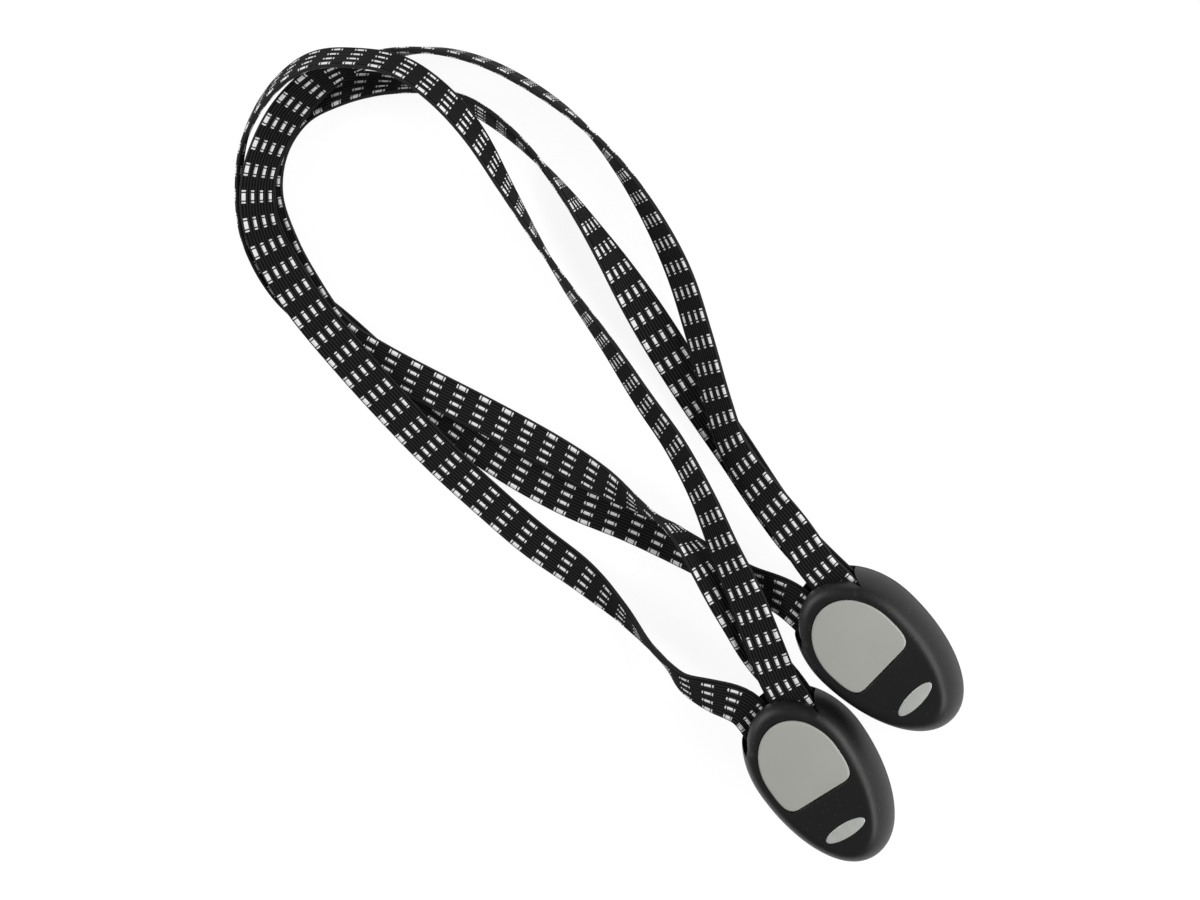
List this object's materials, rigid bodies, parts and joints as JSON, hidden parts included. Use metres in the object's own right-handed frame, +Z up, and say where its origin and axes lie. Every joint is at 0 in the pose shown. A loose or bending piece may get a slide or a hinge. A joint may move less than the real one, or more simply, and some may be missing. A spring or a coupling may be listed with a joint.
{
  "type": "bungee cord",
  "caption": "Luggage bungee of flat woven elastic straps laid in a loose loop between egg-shaped moulded ends, each with a grip pad on top and a rack hook underneath.",
  "frame": {"origin": "on the table, under the middle of the box round the two hook ends", "axes": "+X from the hook ends towards the far bend of the strap loop, +Y towards the front end's side, +Z up from the table"},
  "size_m": [0.3691, 0.1432, 0.039],
  "materials": {
    "black_plastic": "satin moulded plastic",
    "pad_grey": "matte warm grey",
    "oval_grey": "pale gloss inlay",
    "steel": "plain zinc",
    "webbing": "woven elastic, black with pale dashes"
  },
  "bodies": {
    "straps": {"outer_strap": "webbing", "middle_strap": "webbing", "inner_strap": "webbing"},
    "front_end": {"front_top_cover": "black_plastic", "front_hook_base": "black_plastic", "front_grip_pad": "pad_grey", "front_oval_inlay": "oval_grey", "front_screw_1": "steel", "front_screw_2": "steel", "front_lower_crimp": "steel", "front_upper_crimp": "steel", "front_single_crimp": "steel"},
    "rear_end": {"rear_top_cover": "black_plastic", "rear_hook_base": "black_plastic", "rear_grip_pad": "pad_grey", "rear_oval_inlay": "oval_grey", "rear_screw_1": "steel", "rear_screw_2": "steel", "rear_lower_crimp": "steel", "rear_upper_crimp": "steel", "rear_single_crimp": "steel"}
  },
  "joints": [
    {"name": "front_pull", "type": "slide", "parent": "straps", "child": "front_end", "axis": [-0.9936, 0.1132, 0], "range_m": [0, 0.18], "stiffness_N_per_m": 450, "deforming": ["outer_strap", "middle_strap", "inner_strap"]},
    {"name": "rear_pull", "type": "slide", "parent": "straps", "child": "rear_end", "axis": [-0.9936, -0.1132, 0], "range_m": [0, 0.18], "stiffness_N_per_m": 450, "deforming": ["outer_strap", "middle_strap", "inner_strap"]}
  ],
  "couplings": [
    {"joint": "rear_pull", "follows": "front_pull", "ratio": 1}
  ]
}
